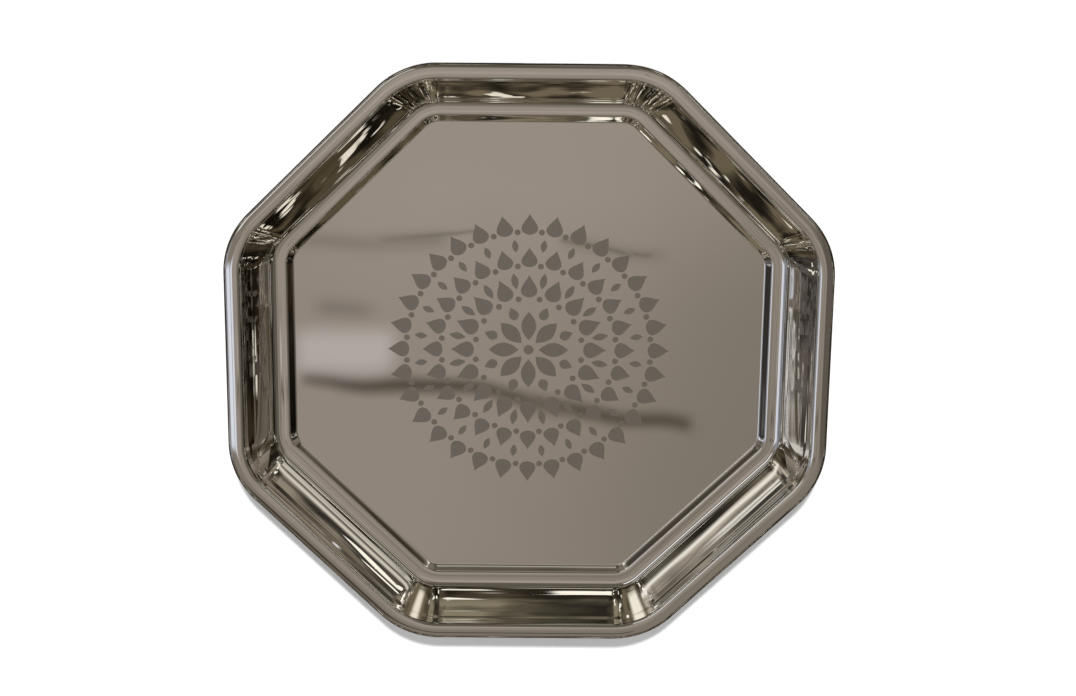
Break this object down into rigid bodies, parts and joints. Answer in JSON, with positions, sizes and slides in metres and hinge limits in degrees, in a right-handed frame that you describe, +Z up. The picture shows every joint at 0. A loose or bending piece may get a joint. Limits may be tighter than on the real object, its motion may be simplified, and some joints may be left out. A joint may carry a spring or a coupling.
{
  "type": "dinner plate",
  "caption": "Octagonal polished steel dinner plate with rounded corners, a deep sloping wall, a narrow ledge, a flat centre and a rolled, wired rim.",
  "frame": {"origin": "on the surface that the plate rests on, at the middle of its flat underside", "axes": "+Z up, out of the plate's mouth; two of the eight sides run along X and two along Y"},
  "size_m": [0.3, 0.3, 0.022],
  "materials": {
    "polished_steel": "mirror-polished stainless steel, with a matt etched decoration in the middle of the flat centre",
    "drawn_wire": "drawn steel wire, closed inside the rolled edge"
  },
  "bodies": {
    "root": {"plate_pressing": "polished_steel", "rim_wire": "drawn_wire"}
  },
  "joints": []
}
